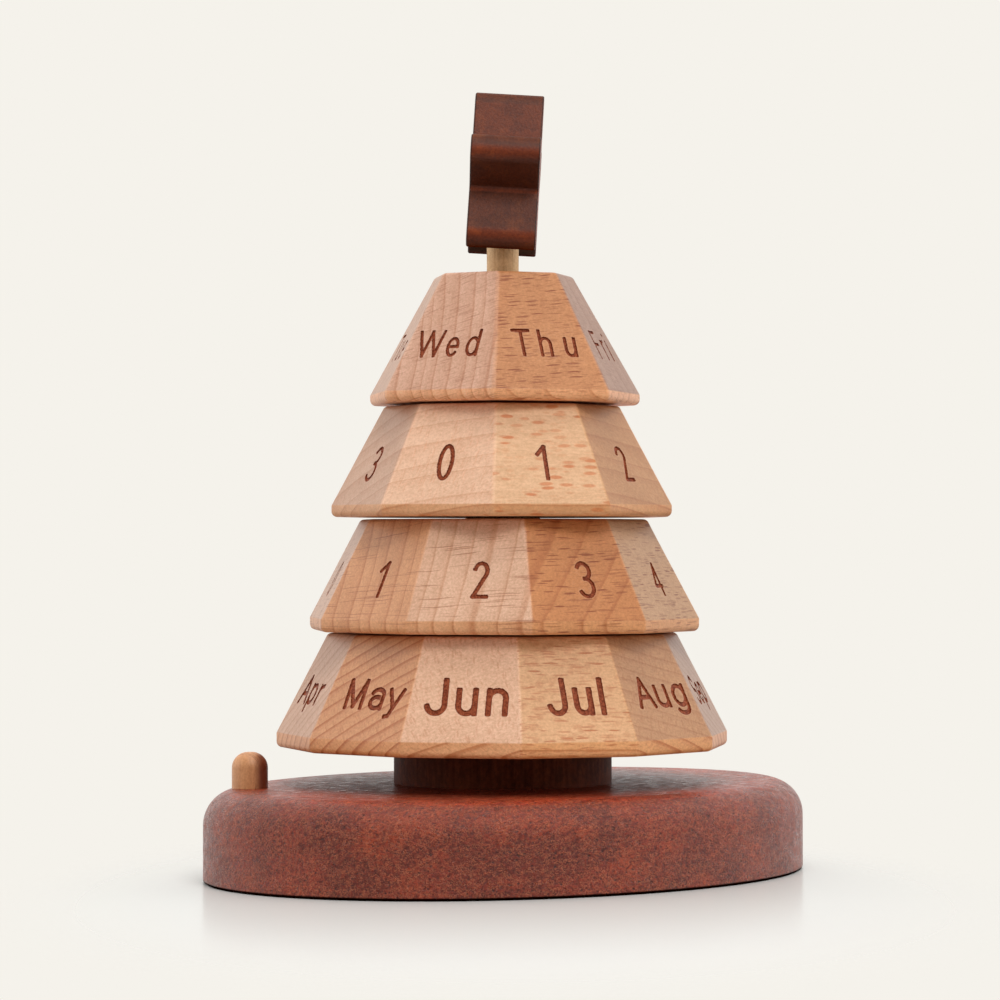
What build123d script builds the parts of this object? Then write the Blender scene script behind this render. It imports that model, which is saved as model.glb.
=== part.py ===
from build123d import *
import os
from dataclasses import dataclass
from math import atan2, cos, pi, radians, sin

# A tiered wooden desk calendar. Four many-sided blocks, each narrower than the one below,
# turn on one upright dowel that is glued into an oval base. A star caps the dowel.
#
# Frame: millimetres, +Z up. The origin is the centre of the base's underside. +X runs along
# the oval's long axis, and -Y is the front.

# Oval base
base_length = 125.6
base_width = 95.0
base_height = 16.8
base_shoulder_round = 6.5
base_foot_round = 0.6

# Round block under the lowest tier
trunk_diameter = 40.8
trunk_height = 6.35
trunk_edge_round = 0.5

# Upright dowel. It stands a little behind the middle of the oval.
axle_setback = 1.8
axle_diameter = 6.0
axle_depth_in_base = 12.0
axle_end_chamfer = 0.5

# Fits, as gaps on the radius
glue_gap = 0.05
running_gap = 0.1

# Veneer washers that keep the tiers apart
washer_diameter = 14.0
washer_thickness = 0.4

# Sanded edges that all the tiers share
tier_corner_round = 1.2
tier_rim_round = 1.1

# Peg that stands near the rim of the base. Its centre is on an oval that is a fixed distance
# inside the rim, at an angle from +X.
peg_diameter = 6.6
peg_height = 6.6
peg_depth_in_base = 8.0
peg_top_round = 2.4
peg_foot_chamfer = 0.5
peg_rim_inset = 8.5
peg_angle = 144.8

# Five-pointed star. The two radii are to its corners before they are rounded.
star_points = 5
star_tip_radius = 23.8
star_notch_radius = 8.1
star_tip_round = 2.8
star_notch_round = 1.0
star_thickness = 12.9
star_edge_round = 0.35
star_bore_depth = 8.0
star_gap_below = 4.5
star_turn = 45.2
star_lean = 3.3


@dataclass
class Tier:
    """A turning block: an upright band, then flat faces that lean in to a smaller top.

    rest_turn is the angle from +X to a corner of the block when the calendar is at rest.
    """

    name: str
    faces: int
    bottom_across_corners: float
    top_across_corners: float
    band_height: float
    height: float
    rest_turn: float


# From the bottom up
tiers = [
    Tier("month", 12, 84.7, 65.4, 2.8, 21.3, 20.45),
    Tier("units", 10, 74.1, 54.5, 2.4, 20.8, 18.05),
    Tier("tens", 9, 64.5, 44.5, 2.2, 20.7, 22.8),
    Tier("weekday", 7, 52.6, 26.7, 2.0, 24.2, 16.5),
]

# Heights that follow from the sizes above
trunk_top = base_height + trunk_height
stack_top = trunk_top + sum(washer_thickness + tier.height for tier in tiers)

# The star's rounded legs set how high its centre stands over the top tier
half_point = pi / star_points
tip_half_angle = atan2(
    star_notch_radius * sin(half_point),
    star_tip_radius - star_notch_radius * cos(half_point),
)
tip_centre_radius = star_tip_radius - star_tip_round / sin(tip_half_angle)
star_leg_drop = tip_centre_radius * cos(half_point) + star_tip_round
star_centre_z = stack_top + star_gap_below + star_leg_drop
star_notch_z = star_centre_z - star_notch_radius
axle_foot_z = base_height - axle_depth_in_base
axle_top_z = star_notch_z + star_bore_depth

# Places on the base, seen from above
axle_place = Pos(0, axle_setback, 0)
peg_x = (base_length / 2 - peg_rim_inset) * cos(radians(peg_angle))
peg_y = (base_width / 2 - peg_rim_inset) * sin(radians(peg_angle))
peg_place = Pos(peg_x, peg_y, 0)


def upright_cylinder(diameter, bottom_z, top_z):
    """Cylinder on the Z axis between two heights."""
    body = Cylinder(diameter / 2, top_z - bottom_z, align=(Align.CENTER, Align.CENTER, Align.MIN))
    return Pos(0, 0, bottom_z) * body


def axle_hole(gap, bottom_z, top_z):
    """The dowel's clearance hole between two heights."""
    return upright_cylinder(axle_diameter + 2 * gap, bottom_z, top_z)


def make_base():
    """Thick oval slab with a rounded shoulder, and blind holes for the dowel and the peg."""
    slab = extrude(Ellipse(base_length / 2, base_width / 2), base_height)
    slab = fillet(slab.edges().group_by(Axis.Z)[-1], base_shoulder_round)
    slab = fillet(slab.edges().group_by(Axis.Z)[0], base_foot_round)
    slab -= axle_place * axle_hole(glue_gap, axle_foot_z, base_height)
    peg_hole = upright_cylinder(
        peg_diameter + 2 * glue_gap, base_height - peg_depth_in_base, base_height
    )
    return slab - peg_place * peg_hole


def make_trunk():
    """Round block that lifts the lowest tier clear of the base."""
    block = upright_cylinder(trunk_diameter, base_height, trunk_top)
    block = fillet(block.edges().group_by(Axis.Z)[-1], trunk_edge_round)
    return block - axle_hole(glue_gap, base_height, trunk_top)


def make_axle():
    """Plain dowel from the foot of its hole in the base to the end of the star's bore."""
    dowel = upright_cylinder(axle_diameter, axle_foot_z, axle_top_z)
    rims = dowel.edges().filter_by(GeomType.CIRCLE)
    return chamfer(rims, axle_end_chamfer)


def make_peg():
    """Short dowel with a domed head."""
    foot_z = base_height - peg_depth_in_base
    dowel = upright_cylinder(peg_diameter, foot_z, base_height + peg_height)
    rims = dowel.edges().filter_by(GeomType.CIRCLE).sort_by(Axis.Z)
    dowel = fillet(rims[-1], peg_top_round)
    rims = dowel.edges().filter_by(GeomType.CIRCLE).sort_by(Axis.Z)
    return chamfer(rims[0], peg_foot_chamfer)


def make_washer(bottom_z):
    """Thin washer on the dowel, under one tier."""
    top_z = bottom_z + washer_thickness
    return upright_cylinder(washer_diameter, bottom_z, top_z) - axle_hole(glue_gap, bottom_z, top_z)


def tier_outline(tier, across_corners, z):
    """Regular polygon with eased corners, at one height."""
    outline = RegularPolygon(across_corners / 2, tier.faces)
    outline = fillet(outline.vertices(), tier_corner_round)
    return Pos(0, 0, z) * Rot(0, 0, tier.rest_turn) * outline


def make_tier(tier, bottom_z):
    """Upright band, leaning faces above it, eased rims, and a running bore for the dowel."""
    band_top = bottom_z + tier.band_height
    top_z = bottom_z + tier.height
    wide = tier_outline(tier, tier.bottom_across_corners, bottom_z)
    band = extrude(wide, tier.band_height)
    wide_top = tier_outline(tier, tier.bottom_across_corners, band_top)
    narrow_top = tier_outline(tier, tier.top_across_corners, top_z)
    block = band + loft([wide_top.face(), narrow_top.face()], ruled=True)
    rims = block.edges().group_by(Axis.Z)
    block = fillet(rims[0] + rims[-1], tier_rim_round)
    return block - axle_hole(running_gap, bottom_z, top_z)


def make_star():
    """Thick star, upright on its two lower points, with the dowel's blind bore in its notch.

    It is drawn facing -Y, leans about the bore's mouth, and then turns about the dowel.
    """
    radii = [star_tip_radius, star_notch_radius] * star_points
    corners = [
        (radius * sin(index * half_point), radius * cos(index * half_point))
        for index, radius in enumerate(radii)
    ]
    outline = make_face(Polyline(*corners, close=True))
    corner_by_reach = outline.vertices().sort_by(SortBy.DISTANCE)
    outline = fillet(corner_by_reach[star_points:], star_tip_round)
    corner_by_reach = outline.vertices().sort_by(SortBy.DISTANCE)
    outline = fillet(corner_by_reach[:star_points], star_notch_round)
    block = extrude(outline, star_thickness / 2, both=True)
    faces = block.faces().filter_by(Axis.Z)
    block = fillet(faces.edges(), star_edge_round)
    block = Rot(90, 0, 0) * block
    block = Pos(0, 0, star_notch_radius) * block
    block = Pos(0, 0, star_notch_z) * Rot(star_lean, 0, 0) * block
    block = Rot(0, 0, star_turn) * block
    return block - axle_hole(running_gap, star_notch_z - star_leg_drop, axle_top_z)


def make_all():
    """Every piece by its name, in its place. Washers and tiers are stacked from the trunk up."""
    on_dowel = {"trunk_disc": make_trunk(), "axle": make_axle(), "star": make_star()}
    level = trunk_top
    for tier in tiers:
        on_dowel[f"{tier.name}_washer"] = make_washer(level)
        level += washer_thickness
        on_dowel[f"{tier.name}_tier"] = make_tier(tier, level)
        level += tier.height
    pieces = {name: axle_place * piece for name, piece in on_dowel.items()}
    return {"base": make_base(), "marker_peg": peg_place * make_peg(), **pieces}


os.makedirs("parts", exist_ok=True)
for name, piece in make_all().items():
    piece.label = name
    export_step(piece, f"parts/{name}.step")
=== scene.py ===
import math
import bmesh
import bpy
import numpy as np
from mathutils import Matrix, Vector
from mathutils.geometry import delaunay_2d_cdt


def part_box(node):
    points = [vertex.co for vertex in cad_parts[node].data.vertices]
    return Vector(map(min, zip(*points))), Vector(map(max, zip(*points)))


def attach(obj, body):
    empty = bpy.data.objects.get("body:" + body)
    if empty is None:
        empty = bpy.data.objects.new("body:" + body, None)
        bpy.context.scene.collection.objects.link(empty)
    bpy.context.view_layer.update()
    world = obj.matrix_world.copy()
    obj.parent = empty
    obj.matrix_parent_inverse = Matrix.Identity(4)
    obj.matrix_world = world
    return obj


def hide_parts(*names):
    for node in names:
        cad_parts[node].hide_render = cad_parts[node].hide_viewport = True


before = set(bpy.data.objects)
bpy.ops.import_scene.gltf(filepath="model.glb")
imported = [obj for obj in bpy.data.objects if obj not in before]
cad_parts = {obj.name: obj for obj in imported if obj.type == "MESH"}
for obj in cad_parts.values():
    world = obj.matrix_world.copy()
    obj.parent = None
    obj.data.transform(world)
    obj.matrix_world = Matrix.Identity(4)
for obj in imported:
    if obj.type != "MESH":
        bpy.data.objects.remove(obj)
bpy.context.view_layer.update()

mm = 0.001  # metres in a millimetre
axleLow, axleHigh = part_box("axle")
axleY = (axleLow.y + axleHigh.y) / 2 / mm  # the dowel stands a little behind the middle of the base
noiseLow, noiseHigh = 0.3, 0.7  # nearly all of a noise lies between these
grainTint = (0.75, 1.0, 1.3)  # dark grain loses more blue than red, so it turns warmer and light grain paler
anyPhase = 6.3  # waves start anywhere in a full turn

# small tools for nodes


def addNode(tree, kind, feeds=None, **settings):
    # feeds maps a socket's name or number to a value or to another node's output
    node = tree.nodes.new("ShaderNode" + kind)
    for key, value in settings.items():
        setattr(node, key, value)
    for key, value in (feeds or {}).items():
        if isinstance(value, bpy.types.NodeSocket):
            tree.links.new(value, node.inputs[key])
        else:
            node.inputs[key].default_value = value
    return node


def calc(tree, operation, a, b=0.0):
    return addNode(tree, "Math", {0: a, 1: b}, operation=operation).outputs[0]


def times(tree, first, *others):
    for other in others:
        first = calc(tree, "MULTIPLY", first, other)
    return first


def plus(tree, first, *others):
    for other in others:
        first = calc(tree, "ADD", first, other)
    return first


def vectorCalc(tree, operation, a, b=(0.0, 0.0, 0.0)):
    node = addNode(tree, "VectorMath", {0: a, 1: b}, operation=operation)
    return node.outputs["Value" if operation in ("DOT_PRODUCT", "LENGTH") else "Vector"]


def coordinate(tree, kind="Object"):
    return addNode(tree, "TexCoord").outputs[kind]


def heightOf(tree, vector):
    return addNode(tree, "SeparateXYZ", {0: vector}).outputs["Z"]


def ramp(tree, value, low, high, outLow=0.0, outHigh=1.0, smooth=True):
    # value carried from low..high to outLow..outHigh, held at both ends
    kind = "SMOOTHSTEP" if smooth else "LINEAR"
    feeds = {"Value": value, "From Min": low, "From Max": high, "To Min": outLow, "To Max": outHigh}
    return addNode(tree, "MapRange", feeds, interpolation_type=kind).outputs["Result"]


def hump(tree, value, low, full, fall, end):
    # 0 up to low, 1 from full to fall, and 0 again from end
    return times(tree, ramp(tree, value, low, full), ramp(tree, value, fall, end, 1.0, 0.0))


def blendColor(tree, factor, first, second, mode="MIX"):
    feeds = {0: factor, 6: first, 7: second}  # a Mix node's colours are its sockets 6 and 7
    return addNode(tree, "Mix", feeds, data_type="RGBA", blend_type=mode, clamp_factor=True).outputs[2]


def brighten(tree, color, gain):
    return addNode(tree, "VectorMath", {0: color, "Scale": gain}, operation="SCALE").outputs[0]


def shadeGrain(tree, color, tone):
    # tone runs round 0, where the colour stays as it is
    gains = vectorCalc(tree, "ADD", brighten(tree, grainTint, tone), (1.0, 1.0, 1.0))
    return vectorCalc(tree, "MULTIPLY", color, gains)


def noise(tree, place, stretch, detail, roughness, move=(0.0, 0.0, 0.0)):
    # stretch is how many waves fit in a millimetre along each axis
    moved = addNode(tree, "Mapping", {"Vector": place, "Scale": stretch, "Location": move}).outputs[0]
    feeds = {"Vector": moved, "Scale": 1.0, "Detail": detail, "Roughness": roughness}
    return addNode(tree, "TexNoise", feeds).outputs[0]


def sway(tree, place, stretch, detail, roughness):
    # the same noise, carried to -1..1
    return ramp(tree, noise(tree, place, stretch, detail, roughness), noiseLow, noiseHigh, -1.0, 1.0)


def scatter(tree, place):
    # distance to the nearest of many scattered points, and that point's own random numbers
    cell = addNode(tree, "TexVoronoi", {"Vector": place, "Scale": 1.0, "Randomness": 1.0}, feature="F1")
    chance = addNode(tree, "SeparateColor", {0: cell.outputs["Color"]}).outputs
    return cell.outputs["Distance"], chance


def srgb(red, green, blue):
    # screen colour 0..255 to the linear colour that a shader takes
    channels = []
    for level in (red, green, blue):
        level /= 255
        channels.append(level / 12.92 if level <= 0.04045 else ((level + 0.055) / 1.055) ** 2.4)
    return (*channels, 1.0)


def newGroup(name, inputs):
    # a group that takes a place and the named inputs, and gives a colour and a height
    tree = bpy.data.node_groups.new(name, "ShaderNodeTree")
    tree.interface.new_socket(name="Vector", in_out="INPUT", socket_type="NodeSocketVector")
    for label, value in inputs.items():
        kind = "NodeSocketFloat" if isinstance(value, float) else "NodeSocketColor"
        tree.interface.new_socket(name=label, in_out="INPUT", socket_type=kind).default_value = value
    for label, kind in (("Color", "NodeSocketColor"), ("Height", "NodeSocketFloat")):
        tree.interface.new_socket(name=label, in_out="OUTPUT", socket_type=kind)
    return tree, tree.nodes.new("NodeGroupInput").outputs, tree.nodes.new("NodeGroupOutput").inputs


# shader groups that several woods share

beechInputs = {  # lengths in mm
    "Wood": (0.7, 0.4, 0.2, 1.0),
    "Late Wood": (0.5, 0.25, 0.1, 1.0),
    "Ray": (0.4, 0.15, 0.05, 1.0),
    "End Grain": 0.0,  # 1 where the grain meets the surface end on
    "Ring Gap": 2.6,
    "Line Start": 0.76,  # share of a ring's width at which its dark line begins
    "Line Amount": 0.5,
    "Shade Amount": 0.2,
    "Pith": 90.0,  # how far away the middle of the tree is
    "Waver": 0.05,
    "Ray Length": 3.2,
    "Ray Width": 0.34,
    "Ray Reach": 18.0,
    "Ray Share": 0.3,  # how many of the places for a ray hold one
    "Ray Amount": 0.9,
    "Fine Amount": 0.5,
    "Fine Reach": 9.0,
    "Fine Length": 2.4,
    "Fine Share": 0.7,
    "Fibre Amount": 0.07,
    "Mottle Amount": 0.06,
    "Grit Amount": 0.13,
}
fibreRelief = 0.3  # how far fibres and grit stand out, beside how deep a ray lies
beechNoises = {  # waves in a millimetre along the grain, outward and across, detail, roughness
    "fibre": ((0.45, 2.2, 2.2), 3.0, 0.65),
    "mottle": ((0.05, 0.13, 0.13), 3.0, 0.55),
    "grit": ((1.9, 2.4, 2.4), 3.0, 0.75),
}
beechRings = {
    "drift": ((0.03, 0.07, 0.07), 1.4, 2.0),  # waves in a millimetre, how far they bend rings in mm, detail
    "unevenWaves": 0.21, "uneven": 0.9,  # waves in a millimetre, and how far they shift a ring, in rings
    "shadeStart": 0.1, "lineEnd": 0.93,  # shares of a ring's width
}
beechRays = {
    "ripple": ((0.32, 0.4, 0.4), 4.0, 1.0),  # waves in a millimetre, how far per unit of Waver, detail
    "filled": (0.26, 0.46),  # how far out in its cell a ray is full, and where it ends
    "faintest": 0.45,
    "cutAcross": (0.3, 0.5, 1.0, 0.1),  # broad rays fade out between these amounts of end grain
    "fineWidth": 0.26,
    "fineMove": (7.3, 2.1, 5.7),
}


def makeBeechGroup():
    # Solid beech in millimetres. X runs along the grain and Y points away from the pith.
    # Rings are cylinders round a pith line; rays are thin blades that run along X and out from the pith.
    tree, given, result = newGroup("solidBeech", beechInputs)
    place = given["Vector"]

    def pushed(point, stretch, amount, detail):
        # the point, pushed aside by a noise, to bend what is drawn there
        slow = addNode(tree, "Mapping", {"Vector": place, "Scale": stretch}).outputs[0]
        push = addNode(tree, "TexNoise", {"Vector": slow, "Scale": 1.0, "Detail": detail}).outputs["Color"]
        push = brighten(tree, vectorCalc(tree, "SUBTRACT", push, (0.5, 0.5, 0.5)), amount)
        return vectorCalc(tree, "ADD", point, push)

    def fromPith(point):
        # along the grain, out from the pith line, and round it
        axes = addNode(tree, "SeparateXYZ", {0: point}).outputs
        outward = plus(tree, axes["Y"], given["Pith"])
        squares = plus(tree, times(tree, outward, outward), times(tree, axes["Z"], axes["Z"]))
        aside = times(tree, calc(tree, "ARCTAN2", axes["Z"], outward), given["Pith"])
        return axes["X"], calc(tree, "SQRT", squares), aside

    # rings only drift slowly; rays waver quickly as well
    drifted = pushed(place, *beechRings["drift"])
    waves, bend, detail = beechRays["ripple"]
    rippled = pushed(drifted, waves, times(tree, given["Waver"], bend), detail)
    # rings: spaced unevenly by a noise that only knows the radius; each darkens up to its line, then ends
    radius = fromPith(drifted)[1]
    feeds = {"W": times(tree, radius, beechRings["unevenWaves"]), "Scale": 1.0, "Detail": 1.0}
    uneven = addNode(tree, "TexNoise", feeds, noise_dimensions="1D").outputs[0]
    phase = calc(tree, "DIVIDE", radius, given["Ring Gap"])
    phase = calc(tree, "FRACT", plus(tree, phase, times(tree, uneven, beechRings["uneven"])))
    shadeStart, lineEnd = beechRings["shadeStart"], beechRings["lineEnd"]
    fall = ramp(tree, phase, lineEnd, 1.0, 1.0, 0.0)
    line = times(tree, ramp(tree, phase, given["Line Start"], lineEnd), fall, given["Line Amount"])
    shade = times(tree, ramp(tree, phase, shadeStart, lineEnd), fall, given["Shade Amount"])
    lateWood = calc(tree, "MAXIMUM", line, shade)
    # rays: flat cells, long along the grain, of which only a share is filled
    spot = fromPith(rippled)

    def blades(size, share, move):
        cells = {axis: calc(tree, "DIVIDE", spot[axis], size[axis]) for axis in range(3)}
        cells = addNode(tree, "CombineXYZ", cells).outputs[0]
        distance, chance = scatter(tree, vectorCalc(tree, "ADD", cells, move))
        inside = ramp(tree, distance, *beechRays["filled"], 1.0, 0.0)
        chosen = calc(tree, "LESS_THAN", chance[0], share)
        strength = ramp(tree, chance[1], 0.0, 1.0, beechRays["faintest"], 1.0, smooth=False)
        return times(tree, inside, chosen, strength)

    # broad rays look faint where they are cut across; fine ones show on every side
    broadSize = (given["Ray Length"], given["Ray Reach"], given["Ray Width"])
    fineSize = (given["Fine Length"], given["Fine Reach"], beechRays["fineWidth"])
    cutAcross = ramp(tree, given["End Grain"], *beechRays["cutAcross"])
    broad = blades(broadSize, given["Ray Share"], (0.0, 0.0, 0.0))
    broad = times(tree, broad, given["Ray Amount"], cutAcross)
    fine = blades(fineSize, given["Fine Share"], beechRays["fineMove"])
    rays = calc(tree, "MAXIMUM", broad, times(tree, fine, given["Fine Amount"]))
    # fibres: fine streaks along the grain that read as pores on the end grain
    fibre, mottle, grit = (sway(tree, place, *beechNoises[name]) for name in ("fibre", "mottle", "grit"))
    tone = plus(
        tree,
        times(tree, fibre, given["Fibre Amount"]),
        times(tree, mottle, given["Mottle Amount"]),
        times(tree, grit, given["Grit Amount"]),
    )
    color = blendColor(tree, lateWood, given["Wood"], given["Late Wood"])
    color = blendColor(tree, rays, color, given["Ray"])
    color = shadeGrain(tree, color, tone)
    rough = plus(tree, times(tree, fibre, fibreRelief), times(tree, grit, fibreRelief))
    tree.links.new(color, result["Color"])
    tree.links.new(calc(tree, "SUBTRACT", rough, rays), result["Height"])
    return tree


stainInputs = {
    "Deep": (0.1, 0.02, 0.01, 1.0),
    "Stain": (0.2, 0.05, 0.03, 1.0),
    "Glow": (0.35, 0.1, 0.04, 1.0),
    "Fleck": (0.5, 0.3, 0.2, 1.0),
    "Patch Size": 9.0,  # mm
    "Glow Amount": 0.6,
    "Streak Amount": 0.12,
    "Fleck Amount": 0.4,
    "Pore Amount": 0.6,
    "Grit Amount": 0.15,
    "Ripple Amount": 0.0,
}
stainNoises = {  # waves in a millimetre, or in a patch, detail, roughness, and the place in the noise
    "cloud": ((0.7, 1.0, 1.0), 4.0, 0.6),
    "warm": ((0.8, 1.2, 1.2), 5.0, 0.65, (3.1, 5.2, 1.7)),
    "streak": ((0.045, 0.9, 0.9), 4.0, 0.6),
    "grit": ((1.5, 2.0, 2.0), 3.0, 0.75),
    "ripple": ((0.25, 0.45, 0.45), 3.0, 0.6),
    "crest": ((1.8, 2.5, 2.5), 2.0, 0.7, (9.0, 4.0, 2.0)),
    "broken": ((0.6, 1.1, 1.1), 2.0, 0.6, (1.0, 8.0, 6.0)),
    "worn": ((0.05, 0.3, 0.3), 3.0, 0.6),
    "rubbed": ((0.35, 0.6, 0.6), 3.0, 0.65, (2.0, 6.0, 4.0)),
}
stainSpans = {  # where in its noise each begins and is full
    "cloud": (0.36, 0.62),
    "warm": (0.5, 0.68),
    "broken": (0.3, 0.6),
    "worn": (0.35, 0.6),
    "rubbed": (0.36, 0.64),
}
stainSpots = {
    "crest": (0.01, 0.055),  # a fleck's core and its end, on both sides of the middle of its noise
    "poreWaves": (0.8, 1.25, 1.25),
    "pore": (0.12, 0.3),  # a pore's core and its end, in its cell
    "poreShare": 0.45,
    "poreDark": 0.75,
    "thinnest": 0.25,  # least cover of stain in the clouds
    "relief": 0.6,  # how far grit and flecks stand out, beside how deep a pore is
}


def stainPatches(tree, place, name):
    return ramp(tree, noise(tree, place, *stainNoises[name]), *stainSpans[name])


def makeStainGroup():
    # Wood under a dark stain, in millimetres, with X along the grain: cloudy patches where the stain
    # took unevenly, streaks along the grain, worn light flecks and dark open pores.
    tree, given, result = newGroup("darkStain", stainInputs)
    place = given["Vector"]
    patch = vectorCalc(tree, "DIVIDE", place, given["Patch Size"])
    cloud, warm = stainPatches(tree, patch, "cloud"), stainPatches(tree, patch, "warm")
    streak, grit, ripple = (sway(tree, place, *stainNoises[name]) for name in ("streak", "grit", "ripple"))
    # flecks: the thin crests where a fine noise passes its middle value, broken up by a coarser one
    crest = calc(tree, "SUBTRACT", noise(tree, place, *stainNoises["crest"]), 0.5)
    crest = ramp(tree, calc(tree, "ABSOLUTE", crest), *stainSpots["crest"], 1.0, 0.0)
    flecks = times(tree, crest, stainPatches(tree, place, "broken"), given["Fleck Amount"])
    # pores: round spots in a share of the cells
    distance, chance = scatter(tree, vectorCalc(tree, "MULTIPLY", place, stainSpots["poreWaves"]))
    spot = ramp(tree, distance, *stainSpots["pore"], 1.0, 0.0)
    chosen = calc(tree, "LESS_THAN", chance[0], stainSpots["poreShare"])
    pores = times(tree, spot, chosen, given["Pore Amount"])
    cover = ramp(tree, cloud, 0.0, 1.0, stainSpots["thinnest"], 1.0)
    color = blendColor(tree, cover, given["Deep"], given["Stain"])
    color = blendColor(tree, times(tree, warm, given["Glow Amount"]), color, given["Glow"])
    tone = plus(tree, times(tree, streak, given["Streak Amount"]), times(tree, grit, given["Grit Amount"]))
    color = shadeGrain(tree, color, tone)
    color = blendColor(tree, flecks, color, given["Fleck"])
    color = brighten(tree, color, calc(tree, "SUBTRACT", 1.0, times(tree, pores, stainSpots["poreDark"])))
    relief = stainSpots["relief"]
    rough = plus(tree, times(tree, grit, relief), times(tree, flecks, relief))
    height = calc(tree, "SUBTRACT", rough, pores)
    tree.links.new(color, result["Color"])
    tree.links.new(plus(tree, height, times(tree, ripple, given["Ripple Amount"])), result["Height"])
    return tree


solidBeech = makeBeechGroup()
darkStain = makeStainGroup()
print("shader groups made")

# materials


def newMaterial(name):
    material = bpy.data.materials.new(name)
    material.use_nodes = True
    return material, material.node_tree, material.node_tree.nodes["Principled BSDF"]


def woodPlace(tree, look):
    # object place in millimetres along three axes: the grain, the way out from the pith, and across both
    grain, outward = np.array(look["grain"]), np.array(look["outward"])
    centre = np.array(look.get("centre", (0.0, 0.0, 0.0))) * mm
    place = vectorCalc(tree, "SUBTRACT", coordinate(tree), tuple(centre))
    axes = enumerate((grain, outward, np.cross(grain, outward)))
    feeds = {number: vectorCalc(tree, "DOT_PRODUCT", place, tuple(axis / mm)) for number, axis in axes}
    turned = addNode(tree, "CombineXYZ", feeds).outputs[0]
    return vectorCalc(tree, "ADD", turned, look.get("shift", (0.0, 0.0, 0.0)))


def axesFrom(bearing, rise):
    # level grain towards a bearing; the way out from the pith is square to it, at an angle above level
    turn, lift = math.radians(bearing), math.radians(rise)
    grain = (math.cos(turn), math.sin(turn), 0.0)
    outward = (-math.sin(turn) * math.cos(lift), math.cos(turn) * math.cos(lift), math.sin(lift))
    return {"grain": grain, "outward": outward}


frontRight = (0.719, -0.695, 0.0)  # level, about midway between +X and the front
uprightGrain = {"grain": (0.0, 0.0, 1.0), "outward": frontRight}
levelGrain = {"grain": (1.0, 0.0, 0.0), "outward": (0.0, 0.0, 1.0)}


def fillGroup(tree, group, place, values):
    return addNode(tree, "Group", {"Vector": place, **values}, node_tree=group).outputs


def finishWood(tree, shader, color, height, look):
    tree.links.new(color, shader.inputs["Base Color"])
    feeds = {"Height": height, "Strength": look["bump"], "Distance": look["bumpDepth"] * mm}
    tree.links.new(addNode(tree, "Bump", feeds).outputs[0], shader.inputs["Normal"])
    shader.inputs["Roughness"].default_value = look["roughness"]
    shader.inputs["Specular IOR Level"].default_value = look["specular"]


def makeBeech(name, look):
    material, tree, shader = newMaterial(name)
    wood = fillGroup(tree, solidBeech, woodPlace(tree, look), look["wood"])
    color = wood["Color"]
    if "shadedSide" in look:  # painted shade: one side darker, as the side turned from the light
        side = look["shadedSide"]
        reach = vectorCalc(tree, "DOT_PRODUCT", coordinate(tree), tuple(np.array(side["towards"]) / mm))
        dark = times(tree, ramp(tree, reach, *side["span"]), side["amount"])
        color = blendColor(tree, dark, color, side["color"], "MULTIPLY")
    finishWood(tree, shader, color, wood["Height"], look)
    return material


def bandsAndFootShadow(tree, color, place, look):
    # bands by height: a redder band near the edge of the top, and last a painted shadow line at the foot,
    # which has no shine
    spot = coordinate(tree)
    height = heightOf(tree, brighten(tree, spot, 1 / mm))
    worn = stainPatches(tree, place, "worn")
    for band in look["levels"]:
        share = times(tree, hump(tree, height, *band["span"]), band["amount"])
        if "rim" in band:  # on the flat top it keeps near the edge, and it is broken
            out = vectorCalc(tree, "LENGTH", vectorCalc(tree, "DIVIDE", spot, look["oval"]))
            share = times(tree, share, ramp(tree, out, *band["rim"]), worn)
        color = blendColor(tree, share, color, band["tint"], "MULTIPLY")
    return color, ramp(tree, share, 0.0, 1.0, look["specular"], 0.0)


def paintShadeByFacing(tree, color, look):
    # painted shade: darkest, and dull, on what faces the ground; painted sheen and shade: greyer and darker,
    # and duller, on what faces up
    facing = coordinate(tree, "Normal")
    level = heightOf(tree, facing)
    color = brighten(tree, color, ramp(tree, level, *look["underSpan"], look["undersides"], 1.0))
    color = blendColor(tree, ramp(tree, level, *look["crownSpan"]), color, look["crowns"], "MULTIPLY")
    # painted shade: darker on what faces the dowel too
    out = vectorCalc(tree, "SUBTRACT", coordinate(tree), (0.0, axleY * mm, 0.0))
    out = vectorCalc(tree, "NORMALIZE", vectorCalc(tree, "MULTIPLY", out, (1.0, 1.0, 0.0)))
    inward = vectorCalc(tree, "DOT_PRODUCT", facing, out)
    color = brighten(tree, color, ramp(tree, inward, *look["innerSpan"], look["innerSides"], 1.0))
    # and painted shade on the eased edges between the sides and the flats
    across = calc(tree, "ABSOLUTE", vectorCalc(tree, "DOT_PRODUCT", facing, look["flats"]))
    edgeShade = hump(tree, across, *look["edgeShadeSpan"])
    color = brighten(tree, color, ramp(tree, edgeShade, 0.0, 1.0, 1.0, look["edgeShade"]))
    shine = ramp(tree, level, *look["crownShineSpan"], look["specular"], look["crownShine"])
    return color, times(tree, ramp(tree, level, *look["underShineSpan"]), shine)


def makeStained(name, look):
    material, tree, shader = newMaterial(name)
    place = woodPlace(tree, look)
    wood = fillGroup(tree, darkStain, place, look["wood"])
    color, shine = wood["Color"], None
    if "levels" in look:
        color, shine = bandsAndFootShadow(tree, color, place, look)
    if "undersides" in look:
        # painted shade and sheen, by which way the surface faces
        color, shine = paintShadeByFacing(tree, color, look)
    finishWood(tree, shader, color, wood["Height"], look)
    if shine is not None:
        tree.links.new(shine, shader.inputs["Specular IOR Level"])
    if "polish" in look:  # rubbed unevenly
        rubbed = noise(tree, place, *stainNoises["rubbed"])
        rubbed = ramp(tree, rubbed, *stainSpans["rubbed"], *look["polish"])
        tree.links.new(rubbed, shader.inputs["Roughness"])
    return material


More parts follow.
